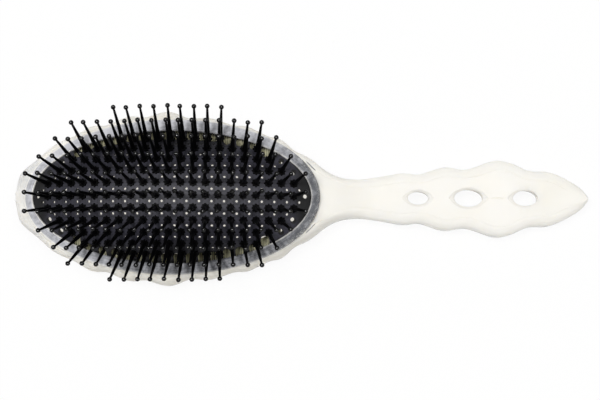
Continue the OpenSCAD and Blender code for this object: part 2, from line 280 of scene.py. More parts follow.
def carved(name: str, base: Form, steps: Sequence[tuple[Cut, Form]], angle: float = 32.0) -> bpy.types.Mesh:
    """A form after a row of booleans.

    Args:
        name: the new mesh's name.
        base: the form that is worked on.
        steps: what to do, and with which form, in order.
        angle: edges sharper than this, in degrees, stay sharp.

    Returns:
        The finished mesh.
    """
    collection = bpy.context.scene.collection
    body = bpy.data.objects.new(name, base.mesh(name + "_base"))
    collection.objects.link(body)
    tools = []
    for number, (cut, form) in enumerate(steps):
        tool = bpy.data.objects.new(f"{name}_tool_{number}", form.mesh(f"{name}_tool_{number}"))
        collection.objects.link(tool)
        step = body.modifiers.new(f"step_{number}", "BOOLEAN")
        step.operation, step.solver, step.object = cut.value, "MANIFOLD", tool
        tools.append(tool)
    bpy.context.view_layer.update()
    made = bpy.data.meshes.new_from_object(body.evaluated_get(bpy.context.evaluated_depsgraph_get()))
    made.name = name
    for spent in [body, *tools]:
        data = spent.data
        bpy.data.objects.remove(spent)
        bpy.data.meshes.remove(data)
    smooth(made, angle)
    return made


def show(name: str, mesh: bpy.types.Mesh, finish: bpy.types.Material) -> bpy.types.Object:
    """Puts a mesh in the scene as an object.

    Args:
        name: the object's name.
        mesh: its mesh.
        finish: its one material.

    Returns:
        The object.
    """
    piece = bpy.data.objects.new(name, mesh)
    bpy.context.scene.collection.objects.link(piece)
    mesh.materials.clear()
    mesh.materials.append(finish)
    LOG.info("%s: %d faces", name, len(mesh.polygons))
    return piece


# Shader maths


class Value:
    """A number that varies over a surface, and adds, subtracts and multiplies as a number does."""

    def __init__(self, nodes: "Nodes", socket: bpy.types.NodeSocket) -> None:
        """Wraps a socket of one material's nodes."""
        self.nodes = nodes
        self.socket = socket

    def __add__(self, other: Any) -> "Value":
        """This plus other."""
        return self.nodes.maths("ADD", self, other)

    def __radd__(self, other: Any) -> "Value":
        """Other plus this."""
        return self.nodes.maths("ADD", other, self)

    def __sub__(self, other: Any) -> "Value":
        """This minus other."""
        return self.nodes.maths("SUBTRACT", self, other)

    def __rsub__(self, other: Any) -> "Value":
        """Other minus this."""
        return self.nodes.maths("SUBTRACT", other, self)

    def __mul__(self, other: Any) -> "Value":
        """This times other."""
        return self.nodes.maths("MULTIPLY", self, other)

    def __rmul__(self, other: Any) -> "Value":
        """Other times this."""
        return self.nodes.maths("MULTIPLY", other, self)

    def __truediv__(self, other: Any) -> "Value":
        """This over other."""
        return self.nodes.maths("DIVIDE", self, other)

    def __abs__(self) -> "Value":
        """This without its sign."""
        return self.nodes.maths("ABSOLUTE", self)


class Nodes:
    """The node tree of one material or of the world."""

    def __init__(self, owner: bpy.types.Material | bpy.types.World) -> None:
        """Empties the owner's tree.

        Args:
            owner: the material or world.
        """
        owner.use_nodes = True
        self.owner = owner
        self.tree = owner.node_tree
        self.tree.nodes.clear()

    def node(
        self, kind: str, settings: dict[str, Any] | None = None, sockets: dict[str | int, Any] | None = None
    ) -> bpy.types.Node:
        """Adds a node.

        Args:
            kind: the node's type, without ShaderNode in front.
            settings: its settings.
            sockets: values or links of its inputs, by name or number.

        Returns:
            The node.
        """
        made = self.tree.nodes.new("ShaderNode" + kind)
        for name, value in (settings or {}).items():
            setattr(made, name, value)
        for name, value in (sockets or {}).items():
            socket = made.inputs[name]
            if isinstance(value, Value):
                self.tree.links.new(value.socket, socket)
            elif isinstance(value, bpy.types.NodeSocket):
                self.tree.links.new(value, socket)
            elif isinstance(value, tuple) and len(value) == 3 and socket.type == "RGBA":
                socket.default_value = (*value, 1.0)
            else:
                socket.default_value = value
        return made

    def value(
        self,
        kind: str,
        settings: dict[str, Any] | None = None,
        sockets: dict[str | int, Any] | None = None,
        output: str | int = 0,
    ) -> Value:
        """Adds a node, as node() does, and returns one of its outputs as a Value."""
        return Value(self, self.node(kind, settings, sockets).outputs[output])

    def maths(self, operation: str, *terms: Any) -> Value:
        """A Math node of that operation on values or numbers."""
        return self.value("Math", {"operation": operation}, dict(enumerate(terms)))

    def length(self, first: Value, second: Value) -> Value:
        """The root of the sum of two squares."""
        return self.maths("SQRT", first * first + second * second)

    def step(self, value: Value, low: float, high: float) -> Value:
        """A smooth step: 3 t^2 - 2 t^3, where t runs from 0 at low to 1 at high.

        Args:
            value: what is looked at.
            low: where the step is 0. It may be the larger of the two.
            high: where it is 1.

        Returns:
            The step.
        """
        if low > high:
            return 1 - self.step(value, high, low)
        sockets = {0: value, 1: low, 2: high, 3: 0.0, 4: 1.0}
        return self.value("MapRange", {"interpolation_type": "SMOOTHSTEP"}, sockets)

    def mixed(self, share: Any, first: Any, second: Any) -> Value:
        """A colour between two colours: the first at share 0 and the second at share 1."""
        return self.value("Mix", {"data_type": "RGBA"}, {0: share, 6: first, 7: second}, 2)

    def noise(self, where: Value, scale: float, detail: float = 3.0, rough: float = 0.5) -> Value:
        """Smooth noise from 0 to 1, so many features a metre."""
        sockets = {"Vector": where, "Scale": scale, "Detail": detail, "Roughness": rough}
        return self.value("TexNoise", None, sockets)

    def stretched(self, where: Value, scale: Sequence[float]) -> Value:
        """Coordinates scaled by axis."""
        return self.value("Mapping", None, {"Vector": where, "Scale": tuple(scale)})

    def place(self) -> Value:
        """Object coordinates, in metres."""
        return self.value("TexCoord", None, None, "Object")

    def parts(self, vector: Value) -> tuple[Value, Value, Value]:
        """A vector's X, Y and Z."""
        x, y, z = self.node("SeparateXYZ", None, {0: vector}).outputs
        return Value(self, x), Value(self, y), Value(self, z)

    def bump(self, height: Value, depth: float, strength: float = 1.0) -> Value:
        """A normal bent by a height from 0 to 1 that stands for so many metres."""
        return self.value("Bump", None, {"Strength": strength, "Distance": depth, "Height": height})

    def surface(self, shader: bpy.types.Node) -> None:
        """Sends a shader to the output."""
        kind = "OutputWorld" if isinstance(self.owner, bpy.types.World) else "OutputMaterial"
        self.node(kind, None, {"Surface": shader.outputs[0]})

    def principled(self, sockets: dict[str | int, Any]) -> bpy.types.Material:
        """Finishes a material with one principled shader of those inputs, and returns it."""
        self.surface(self.node("BsdfPrincipled", None, sockets))
        return self.owner


# Finishes


@dataclass(frozen=True)
class MilkyPlastic:
    """Creamy white plastic that lets light through, with faint clouds, rubbed patches and painted shade.

    Places are in metres: the ring's middle and outer half axes, round which shade is painted, where painted
    grey shade starts on the head's left end, where painted shade starts on its low sides and where the handle
    no longer has it, and two dark nicks beside the ring's right end.
    """

    name: str
    through: float
    milky: float
    deep: Colour = (0.985, 0.94, 0.85)
    pale: Colour = (0.99, 0.955, 0.88)
    # Painted shade: the darker, creamier colour of the face round the ring, where the dark cushion holds back
    # light
    shade_near_ring: Colour = (0.93, 0.88, 0.78)
    # Painted shade: the grey of the head's left end
    grey_end_shade: Colour = (0.74, 0.74, 0.73)
    # Painted shade: the darker cream of the head's low sides
    low_side_shade: Colour = (0.74, 0.7, 0.61)
    nick_colour: Colour = (0.2, 0.2, 0.22)
    scatter: Colour = (1.0, 0.95, 0.85)
    depth: float = 0.004
    middle: float = HEAD_MIDDLE * MM
    ring: tuple[float, float] = (RING_OUTER[0] * MM, RING_OUTER[1] * MM)
    left_end: tuple[float, float] = (-0.1, -0.112)
    low_side: tuple[float, float] = (0.0182, 0.0158)
    neck: tuple[float, float] = (0.02, -0.01)
    nick: tuple[float, float] = (0.0045, 0.01275)
    nick_length: float = 0.0044
    nick_width: float = 0.0004

    def material(self) -> bpy.types.Material:
        """The finish as a material: clouds, painted shade by the ring, the left end and the low sides, and
        nicks.

        Returns:
            The material.
        """
        n = Nodes(bpy.data.materials.new(self.name))
        where = n.place()
        cloud = n.noise(where, 38, 2)
        grain = n.noise(where, 900, 2)
        rubbed = n.step(n.noise(n.stretched(where, (1, 2.5, 2.5)), 90, 4), 0.52, 0.72)
        plain = n.mixed(n.step(cloud, 0.3, 0.7), self.deep, self.pale)
        x, y, z = n.parts(where)
        along, across = (x - self.middle) / self.ring[0], y / self.ring[1]
        out = n.length(across, along)
        side = n.step(abs(across), 0.35, 1.0)
        # Painted shade round the ring, strongest on the long sides
        shade_round_ring = n.step(out, 1.24, 0.98) * (0.15 + 0.7 * side)
        colour = n.mixed(shade_round_ring, plain, self.shade_near_ring)
        # Painted shade: the head's left end turns patchily grey
        colour = n.mixed(n.step(x, *self.left_end) * n.step(cloud, 0.1, 0.6), colour, self.grey_end_shade)
        # Painted shade on the head's low sides, which stops at the handle
        colour = n.mixed(n.step(z, *self.low_side) * n.step(x, *self.neck) * 0.6, colour, self.low_side_shade)
        right, outwards = x - self.nick[0], abs(y) - self.nick[1]
        off = abs(right + outwards) / self.nick_width
        past = abs(right - outwards) / self.nick_length
        nicked = n.step(off, 1.0, 0.4) * n.step(past, 1.0, 0.6) * n.step(cloud, 0.2, 0.5)
        sockets = {
            "Base Color": n.mixed(nicked, colour, self.nick_colour),
            "Roughness": 0.4 + 0.12 * rubbed + 0.05 * grain,
            "IOR": 1.3,
            "Transmission Weight": self.through,
            "Subsurface Weight": self.milky,
            "Subsurface Radius": self.scatter,
            "Subsurface Scale": self.depth,
            "Normal": n.bump(grain, 0.00003, 0.6),
        }
        return n.principled(sockets)


@dataclass(frozen=True)
class FrostedPlastic:
    """Grey frosted ring: fine streaks round it, painted light and shade, painted edge highlights and short
    scratches.

    The pairs of places say, in metres, between which X or Y the ring's left end, right part, far side and
    ends begin.
    """

    # dark and pale bound the ring's painted light and shade together with its frosted tone
    dark: Colour = (0.07, 0.075, 0.086)
    pale: Colour = (0.6, 0.605, 0.645)
    # Colour of the painted highlight on the ring's edges and of its real scratches
    edge: Colour = (0.86, 0.845, 0.8)
    middle: float = HEAD_MIDDLE * MM
    left_end: tuple[float, float] = (-0.06, -0.106)
    right_part: tuple[float, float] = (-0.02, 0.002)
    far_side: tuple[float, float] = (0.008, 0.026)
    past_middle: tuple[float, float] = (0.028, 0.05)

    def material(self) -> bpy.types.Material:
        """The finish as a material; the UV map's U is the way round in metres and V the way over from 0 to 1.

        Returns:
            The material.
        """
        n = Nodes(bpy.data.materials.new("frosted_plastic"))
        round_it = n.value("UVMap", {"uv_map": "Round"}, None)
        where = n.place()
        x, y, _ = n.parts(where)
        _, over, _ = n.parts(round_it)
        streak = n.noise(n.stretched(round_it, (30, 11, 1)), 1, 5, 0.7)
        lines = n.step(n.noise(n.stretched(round_it, (26, 34, 1)), 1, 3), 0.32, 0.68)
        patch = n.noise(n.stretched(round_it, (90, 5, 1)), 1, 3)
        fine = n.noise(n.stretched(round_it, (900, 50, 1)), 1, 3)
        mottle = n.step(n.noise(where, 520, 4, 0.6), 0.32, 0.68)
        left = n.step(x, *self.left_end)
        right = n.step(x, *self.right_part)
        far = n.step(y, *self.far_side)
        ends = n.step(abs(x - self.middle), *self.past_middle)
        # Painted light: paler on the left end and far side, darker on the right part and lighter towards its
        # inside there; mottle, streaks, patches and lines are the frosting's own tone
        light = 0.24 + 0.5 * left + 0.6 * far - 0.22 * right
        light = light + 0.4 * (mottle - 0.5) + 0.7 * (streak - 0.5) + 0.35 * (patch - 0.5)
        light = light + (0.12 + 0.16 * right) * (lines - 0.5) + 0.16 * right * n.step(over, 0.5, 0.1)
        body = n.mixed(n.maths("MINIMUM", n.maths("MAXIMUM", light, 0.0), 1.0), self.dark, self.pale)
        # Painted highlight: a pale line along the inner edge at the ends, and a pale band along the outer
        # edge that is widest on the left
        inner = n.step(over, 0.2, 0.1) * ends * (1 - 0.45 * right)
        elsewhere = n.step(over, 0.86, 0.97) * 0.4 * (1 - left) * (1 - 0.8 * right)
        outer = n.step(over, 0.8, 0.88) * left + elsewhere
        scratch = n.step(fine, 0.55, 0.63) * n.step(over, 0.55, 0.92) * (0.2 + 0.7 * right)
        # Painted edge highlights together with real scratches
        pale_mark = n.maths("MAXIMUM", inner, n.maths("MAXIMUM", outer, scratch))
        sockets = {
            "Base Color": n.mixed(pale_mark, body, self.edge),
            "Roughness": 0.34 + 0.2 * streak,
            "IOR": 1.36,
            "Normal": n.bump(streak + 0.3 * fine, 0.00008, 0.6),
        }
        return n.principled(sockets)


@dataclass(frozen=True)
class OlivePlastic:
    """Olive plastic with a dull sheen, dust, darker grooves and painted shadow as dark teeth by the frosted
    ring.

    Half axes of the frosted ring's opening, the painted shadow teeth's pitch and reach, and the ribs' heights
    are in metres. A tooth of painted shadow is dark where the place in the pitch, from 0 to 0.5, is past a
    start that moves away from the ring by a taper.
    """

    dark: Colour = (0.42, 0.4, 0.23)
    pale: Colour = (0.86, 0.82, 0.54)
    # Colour of the painted shadow between the ribs' roots beside the ring
    tooth_shadow: Colour = (0.02, 0.02, 0.012)
    middle: float = HEAD_MIDDLE * MM
    opening: tuple[float, float] = (RING_INNER[0] * MM, RING_INNER[1] * MM)
    pitch: float = 0.00085
    reach: float = 0.0015
    shadow_start: float = 0.3
    shadow_taper: float = 0.32
    rib_heights: tuple[float, float] = (0.01702, 0.01738)

    def material(self) -> bpy.types.Material:
        """The finish as a material: paler on the ribs' tops, with a dark tooth of painted shadow between
        ribs.

        Returns:
            The material.
        """
        n = Nodes(bpy.data.materials.new("olive_plastic"))
        where = n.place()
        x, y, z = n.parts(where)
        rib = n.step(z, *self.rib_heights)
        dust = n.noise(where, 600, 4)
        share = (x - self.middle) / self.opening[0]
        edge = self.opening[1] * n.maths("SQRT", n.maths("MAXIMUM", 1 - share * share, 0.0))
        inward = (edge - abs(y)) / self.reach
        groove = n.maths("PINGPONG", (x - self.middle) / self.pitch, 0.5)
        # Painted shadow: dark teeth between the ribs beside the frosted ring
        tooth_shadow = n.step(groove - self.shadow_start - self.shadow_taper * inward, -0.05, 0.05)
        streak = n.step(abs(groove - 0.12), 0.1, 0.02) * n.step(inward, 0.3, 0.8)
        # Paler on the ribs' tops and darker in the grooves between them, with dust mottle all over
        body = n.mixed(n.step(rib * 0.3 + 0.4 * dust + 0.35 * streak, 0.1, 0.95), self.dark, self.pale)
        colour = n.mixed(tooth_shadow, body, self.tooth_shadow)
        sockets = {"Base Color": colour, "Roughness": 0.42 + 0.2 * dust, "Normal": n.bump(dust, 0.00004)}
        return n.principled(sockets)


@dataclass(frozen=True)
class MattRubber:
    """Black rubber with a painted grey-violet sheen between the pins that fades at the sides and ends.

    The pitch and the crown's radius across the head are in metres. How far from the middle the painted sheen
    fades and the rubber turns plain, the radius of the sheen's gap round a pin and that of the land round a
    vent are in pitches.
    """

    plain: Colour = (0.004, 0.004, 0.0043)
    # Colour of the painted sheen between the pins
    sheen_net: Colour = (0.038, 0.037, 0.055)
    groove: Colour = (0.003, 0.003, 0.0035)
    pitch: float = PIN_PITCH * MM
    middle: float = HEAD_MIDDLE * MM
    cross: float = CROWN_CROSS * MM
    plain_ends: tuple[float, float] = (10.7, 9.8)
    plain_sides: tuple[float, float] = (5.2, 3.2)
    gap: tuple[float, float] = (0.2, 0.28)
    land: float = 0.27

    def material(self) -> bpy.types.Material:
        """The finish as a material; a row's number is the arc across the cushion over the pitch.

        Returns:
            The material.
        """
        n = Nodes(bpy.data.materials.new("matt_rubber"))
        where = n.place()
        x, y, _ = n.parts(where)
        along = (x - self.middle) / self.pitch
        over = n.maths("ARCSINE", y / self.cross) * (self.cross / self.pitch)
        near_x = n.maths("PINGPONG", along, 0.5)
        near_y = n.maths("PINGPONG", over, 0.5)
        pin = n.length(near_x, near_y)
        vent = n.length(0.5 - near_x, 0.5 - near_y)
        ends = n.step(abs(along), *self.plain_ends)
        sides = n.step(abs(over), *self.plain_sides)
        soft = n.noise(where, 420, 3)
        # Painted sheen: a grey-violet net between the pins, weaker towards the sides where the crown turns
        # from the light, and none at the plain ends
        sheen_web = n.step(pin, *self.gap) * ends * (0.25 + 0.75 * sides)
        line = n.step(abs(vent - self.land), 0.05, 0.015) * ends
        colour = n.mixed(sheen_web * (0.75 + 0.5 * (soft - 0.5)), self.plain, self.sheen_net)
        colour = n.mixed(line * 0.55, colour, self.groove)
        fine = n.noise(where, 2600, 2)
        sockets = {
            "Base Color": colour,
            "Roughness": 0.66 - 0.18 * sheen_web + 0.1 * soft,
            "Specular IOR Level": 0.42,
            "Normal": n.bump(fine + 0.8 * soft, 0.00004, 0.7),
        }
        return n.principled(sockets)


@dataclass(frozen=True)
class SatinNylon:
    """Near-black nylon of the pins: dull on the collars, satin on the shafts and polished on the balls.

    Sizes are in metres: the crown's circle along the head, its radius across, and heights over the cushion.
    """

    black: Colour = (0.0005, 0.0005, 0.0005)
    pale_mark: Colour = (0.0025, 0.0025, 0.003)
    middle: float = HEAD_MIDDLE * MM
    axis: float = (CROWN_HEIGHT - CROWN_LONG) * MM
    long: float = (CROWN_LONG - CROWN_CROSS) * MM
    cross: float = CROWN_CROSS * MM
    ball: float = PIN_LENGTH * MM
    collar_top: tuple[float, float] = (0.0008, 0.0016)
    ball_foot: tuple[float, float] = (0.0022, 0.0009)

    def material(self) -> bpy.types.Material:
        """The finish as a material, by the height over the cushion.

        That is the distance from the circle inside the crown, less the crown's radius across.

        Returns:
            The material.
        """
        n = Nodes(bpy.data.materials.new("satin_nylon"))
        where = n.place()
        x, y, z = n.parts(where)
        side, up = x - self.middle, z - self.axis
        out = n.length(side, up) - self.long
        high = n.length(out, y) - self.cross
        shaft = n.step(high, *self.collar_top)
        ball = n.step(high, self.ball - self.ball_foot[0], self.ball - self.ball_foot[1])
        facing = n.value("LayerWeight", None, {"Blend": 0.5}, "Facing")
        mottle = n.noise(where, 500, 3)
        fine = n.noise(where, 2400, 2)
        sockets = {
            "Base Color": n.mixed(mottle, self.black, self.pale_mark),
            "Roughness": 0.55 - 0.2 * shaft + 0.08 * mottle,
            "Specular IOR Level": 0.07,
            "Coat Weight": 0.5 * ball * n.step(facing, 0.3, 0.12),
            "Coat Roughness": 0.11,
            "Coat IOR": 2.0,
            "Normal": n.bump(fine, 0.00001, 0.5),
        }
        return n.principled(sockets)


@dataclass(frozen=True)
class WhiteGround:
    """White ground: plain paper under the lamps, with most of its shading hidden from the eye."""

    paper: Colour = (0.93, 0.93, 0.92)
    shown: float = 0.92

    def material(self) -> bpy.types.Material:
        """The finish as a material: seen straight, mirrored or through plastic it is nearly plain white.

        Returns:
            The material.
        """
        n = Nodes(bpy.data.materials.new("white_ground"))
        ray = n.node("LightPath")
        kinds = ("Is Camera Ray", "Is Glossy Ray", "Is Transmission Ray")
        straight, mirrored, through = (Value(n, ray.outputs[kind]) for kind in kinds)
        share = n.maths("MINIMUM", straight + mirrored + through, 1.0) * self.shown
        grain = n.noise(n.place(), 700, 2)
        sockets = {"Base Color": self.paper, "Roughness": 0.9, "Normal": n.bump(grain, 0.00002)}
        paper = n.node("BsdfPrincipled", None, sockets)
        white = n.node("Emission", None, {"Color": (1.0, 1.0, 1.0), "Strength": 1.0})
        n.surface(n.node("MixShader", None, {0: share, 1: paper.outputs[0], 2: white.outputs[0]}))
        return n.owner


# The body


class Side(Enum):
    """Which half of the body."""

    FRONT = "front_shell"
    BACK = "back_shell"


# Half the body's outline: shares of the length from the head's end, and of half the head's width
OUTLINE = np.array(
    [
        [0.003, 0], [0.0097, 0.262], [0.0185, 0.335], [0.0345, 0.421], [0.0487, 0.496],
        [0.0613, 0.576], [0.0697, 0.617], [0.0824, 0.661], [0.1034, 0.713],
        [0.1126, 0.747], [0.1265, 0.807], [0.1374, 0.84], [0.1584, 0.833],
        [0.1727, 0.871], [0.2025, 0.948], [0.2265, 0.927], [0.2685, 1],
        [0.3063, 0.917], [0.3395, 0.926], [0.387, 0.829], [0.4025, 0.837],
        [0.4462, 0.702], [0.4639, 0.689], [0.4828, 0.576], [0.4924, 0.526],
        [0.5038, 0.507], [0.5231, 0.427], [0.5387, 0.339], [0.5576, 0.266],
        [0.5798, 0.227], [0.6042, 0.219], [0.6303, 0.241], [0.6513, 0.264],
        [0.6723, 0.289], [0.6828, 0.292], [0.7034, 0.27], [0.7244, 0.314],
        [0.7504, 0.361], [0.7815, 0.326], [0.8076, 0.372], [0.8282, 0.423],
        [0.8437, 0.435], [0.8698, 0.388], [0.8903, 0.32], [0.9059, 0.309],
        [0.9214, 0.314], [0.942, 0.278], [0.9626, 0.211], [0.9832, 0.124],
        [0.993, 0.05], [0.9965, 0],
    ]
)  # fmt: skip


@dataclass
class Body:
    """The hollow milky body: two shells welded at a seam, the cushion's seat and three holes in the handle.

    A pair of roundings is the front edge's and the back edge's radius. A fall says how many times its radius
    the face drops over that rounding. The radius is at most end_round of the half width, and the drop at most
    most_drop of the way to the seam. Places along the body that end in share, and the neck and the tail, are
    shares of its length.
    """

    length: float = 238.0
    head_width: float = 72.6
    head_height: float = FACE_HEIGHT
    handle_height: float = 14.4
    tail_height: float = 11.6
    seam: float = 7.2
    wall: float = 2.0
    head_rounds: tuple[float, float] = (2.6, 5.0)
    head_fall: float = 4.0
    handle_fall: float = 0.9
    handle_rounds: tuple[float, float] = (3.6, 4.0)
    least_round: float = 0.05
    end_round: float = 0.8
    most_drop: float = 0.97
    neck: tuple[float, float] = (0.545, 0.625)
    tail: float = 0.86
    hole_shares: tuple[float, ...] = (0.7027, 0.7892, 0.8866)
    hole_lengths: tuple[float, ...] = (8.2, 11.4, 9.9)
    hole_widths: tuple[float, ...] = (5.2, 6.9, 6.2)
    hole_draft: float = 0.9
    hole_flare: float = 0.5
    sleeve_wall: float = 1.6
    recess: float = 0.35
    eye_reach: float = 2.2
    eye_tip: float = 0.0001
    eye_over: float = 1.5
    eye_rises: tuple[float, ...] = (0.0, 0.12, 0.45, 0.75)
    eye_grows: tuple[float, ...] = (-0.35, -0.05, 0.25, 0.55)
    crease: tuple[float, float] = (0.827, 0.85)
    crease_depth: float = 0.3
    crease_widths: tuple[float, float] = (0.24, 1.0)
    crease_over: float = 0.4
    dimple_share: float = 0.9438
    dimple_d: float = 6.4
    seat: tuple[float, float] = (60.0, 30.0)
    cup: tuple[float, float] = (57.5, 27.7)
    seat_floor: float = 16.3
    seat_wall: float = 1.4
    ledge: float = 1.6
    line_depth: float = 0.12
    line_places: tuple[float, ...] = (0.12, 0.34, 0.56, 0.9)
    line_start: float = 4.0
    line_least: float = 0.04
    stations: int = 560
    crowding: float = 0.98
    narrowest: float = 0.25
    soft: float = 4.0
    soft_share: float = 0.35
    least_weight: float = 0.02
    probe: float = 0.119
    front_finish: MilkyPlastic = MilkyPlastic("milky_plastic_front", 0.1, 0.55)
    back_finish: MilkyPlastic = MilkyPlastic(
        "milky_plastic_back",
        0.96,
        0.0,
        deep=(0.985, 0.97, 0.935),
        pale=(0.995, 0.985, 0.955),
        shade_near_ring=(0.96, 0.93, 0.87),
    )

    def half_width(self, d: Array) -> Array:
        """Half the width: the drawn one averaged over a short run, which is shorter near both ends.

        Args:
            d: distances from the head's end.

        Returns:
            The half widths.
        """
        t = np.linspace(-1, 1, 9)
        weight = np.cos(t * np.pi / 2) ** 2 + self.least_weight
        first, last = OUTLINE[0, 0] * self.length, OUTLINE[-1, 0] * self.length
        run = np.clip(self.soft_share * np.minimum(d - first, last - d), 0, self.soft)
        return self.drawn_width(d[:, None] + run[:, None] * t) @ (weight / weight.sum())

    def drawn_width(self, d: Array) -> Array:
        """Half the width as drawn: the root of a cubic through the squares of the outline's half widths.

        Args:
            d: distances from the head's end.

        Returns:
            The half widths, 0 outside the outline.
        """
        x = OUTLINE[:, 0] * self.length
        square = (OUTLINE[:, 1] * self.head_width / 2) ** 2
        before = np.maximum(np.arange(len(x)) - 1, 0)
        after = np.minimum(np.arange(len(x)) + 1, len(x) - 1)
        slope = (square[after] - square[before]) / (x[after] - x[before])
        i = np.clip(np.searchsorted(x, d, side="right") - 1, 0, len(x) - 2)
        span = x[i + 1] - x[i]
        t = (d - x[i]) / span
        blend = t * t * (3 - 2 * t)
        value = (1 - blend) * square[i] + blend * square[i + 1]
        value += t * (1 - t) ** 2 * span * slope[i] + t * t * (t - 1) * span * slope[i + 1]
        return np.sqrt(np.where((d > x[0]) & (d < x[-1]), np.maximum(0, value), 0))

    def outward(self, d: Array) -> Array:
        """The direction square to the outline on its +Y side, from the half width's rise over a short run.

        Args:
            d: distances from the head's end.

        Returns:
            Unit directions (n, 2).
        """
        a, b = np.maximum(0, d - self.probe), np.minimum(self.length, d + self.probe)
        way = np.stack([self.half_width(a) - self.half_width(b), b - a], -1)
        return way / np.linalg.norm(way, axis=1, keepdims=True)

    @staticmethod
    def ease(v: Array, a: float, b: float) -> Array:
        """A smooth step from 0 to 1 as v goes from a to b."""
        t = np.clip((v - a) / (b - a), 0, 1)
        return t * t * (3 - 2 * t)

    def handle_part(self, d: Array) -> Array:
        """0 over the head and 1 over the handle."""
        return self.ease(d / self.length, *self.neck)

    def height(self, d: Array) -> Array:
        """Height of the body's face at distances from the head's end."""
        to_handle = self.head_height + (self.handle_height - self.head_height) * self.handle_part(d)
        return to_handle + (self.tail_height - self.handle_height) * self.ease(d / self.length, self.tail, 1)

    def rounding(self, d: Array, side: Side) -> Array:
        """Radius of the edge's rounding at distances from the head's end."""
        k = 0 if side is Side.FRONT else 1
        return self.head_rounds[k] + (self.handle_rounds[k] - self.head_rounds[k]) * self.handle_part(d)

    def loft(self, side: Side, skin: float, over: float = 0.0) -> Form:
        """One half of the body as a closed form, or its hollow.

        Each station's section goes up one side and down the other. Its corner is a quarter of an ellipse, as
        wide as the rounding and as high as its drop. A fine line runs along the face inside the rounding.
        Past the place where an inset line meets the middle, its points stay at that place, so both ends close
        in one soft point.

        Args:
            side: which half.
            skin: how far the surface lies inside the outer one.
            over: how far it runs past the seam.

        Returns:
            The form.
        """
        way = np.linspace(0, 1, self.stations + 1)
        d = self.length * (way - self.crowding * np.sin(2 * np.pi * way) / (2 * np.pi))
        out, half = self.outward(d), self.half_width(d)[:, None]
        down, back = quarter(9)
        full = np.maximum(self.least_round, self.rounding(d, side) - skin)[:, None]
        radius = np.minimum(full, np.maximum(self.least_round, self.end_round * half - skin))
        face = (self.height(d) if side is Side.FRONT else np.zeros_like(d))[:, None]
        sign = 1 if side is Side.FRONT else -1
        face = face - sign * skin
        fall = self.handle_fall
        if side is Side.FRONT:
            fall = self.head_fall + (self.handle_fall - self.head_fall) * self.handle_part(d)[:, None]
        drop = np.minimum(full * fall, np.abs(face - self.seam) * self.most_drop)
        z = face - sign * drop * down
        inset = skin + radius * back
        if not skin:
            share = np.clip(half / self.line_start - 1, self.line_least, 1)
            past = np.array(self.line_places) * share * np.minimum(radius, 1)
            dip = self.line_depth * (share - self.line_least) * np.array([0, 1, 0, 0])
            inset = np.concatenate([inset, inset[:, -1:] + past], 1)
            z = np.concatenate([z, face - sign * dip], 1)
        z = np.concatenate([np.full_like(face, self.seam - sign * over), z], 1)
        inset = np.concatenate([inset[:, :1], inset], 1)
        x = -self.length / 2 + d[:, None] - inset * out[:, :1]
        y = half - inset * out[:, 1:]
        half_loop = np.stack([x, y, z], -1)
        wide = y > self.narrowest
        first, last = wide.argmax(0), len(d) - 1 - wide[::-1].argmax(0)
        kept = np.clip(np.arange(len(d))[:, None], first, last)
        half_loop = half_loop[kept, np.arange(half_loop.shape[1])]
        other_half = half_loop[:, ::-1] * np.array([1, -1, 1])
        return stacked(np.concatenate([half_loop, other_half], 1))

    def at(self, share: float) -> tuple[float, float]:
        """The place on the middle line at a share of the length."""
        return share * self.length - self.length / 2, 0.0

    def hole_sizes(self) -> list[tuple[tuple[float, float], float, float]]:
        """Each of the handle's holes: its place and its half length and half width."""
        sizes = zip(self.hole_shares, self.hole_lengths, self.hole_widths)
        return [(self.at(share), long / 2, wide / 2) for share, long, wide in sizes]

    def holes(self) -> Form:
        """The handle's holes: ellipses that widen downwards and flare by a quarter circle at both mouths.

        Returns:
            The form that is cut away.
        """
        grow, rise = (self.hole_flare * distance for distance in quarter(5))
        floor = self.handle_height - self.recess
        heights = np.concatenate([[-1], rise, floor - rise[::-1], [self.handle_height + 1]])
        flare = np.concatenate([[self.hole_flare], grow, grow[::-1], [self.hole_flare]])
        flare += self.hole_draft * (1 - np.clip(heights / floor, 0, 1))
        forms = []
        for place, long, wide in self.hole_sizes():
            forms.append(lifted([oval(long + f, wide + f, 72) for f in flare], heights, place))
        return Form.joined(forms)

    def eyes(self) -> Form:
        """The eye-shaped recesses, whose sides lean outwards.

        An eye's outline is where two equal circles cross: y = +-(c - r + sqrt(r^2 - x^2)), widened by its
        height. At both its ends eye_tip keeps the two arcs apart.

        Returns:
            The form that is cut away.
        """
        floor = self.handle_height - self.recess
        heights = [*(floor + rise for rise in self.eye_rises), self.handle_height + self.eye_over]
        t = np.linspace(0, 2 * np.pi, 96, endpoint=False)
        forms = []
        for place, long, wide in self.hole_sizes():
            outlines = []
            for grow in (*self.eye_grows, self.eye_grows[-1] * 2):
                a, c = long + self.eye_reach + grow, wide + self.eye_reach / 3 + grow
                r = (a * a + c * c) / (2 * c)
                x = a * np.cos(t)
                y = np.sign(np.sin(t)) * (c - r + np.sqrt(np.maximum(r * r - x * x, (r - c) ** 2)))
                outlines.append(np.stack([x, y + self.eye_tip * np.sin(t)], -1))
            forms.append(lifted(outlines, heights, place))
        return Form.joined(forms)

    def dimple(self) -> Form:
        """The shallow thumb dimple: a bowl of height k^2 at a share k of its radius, set on the sloping face.

        Returns:
            The form that is cut away.
        """
        face = float(self.height(np.array([self.dimple_share * self.length]))[0])
        k = np.linspace(0.12, 1.25, 9)
        rings = [oval(self.dimple_d / 2 * s, self.dimple_d / 2 * s, 64) for s in k]
        made = lifted(rings, face - self.recess / 2 + self.recess / 2 * k**2, self.at(self.dimple_share))
        made.points[:, 2] += self.height(made.points[:, 0] + self.length / 2) - face
        return made

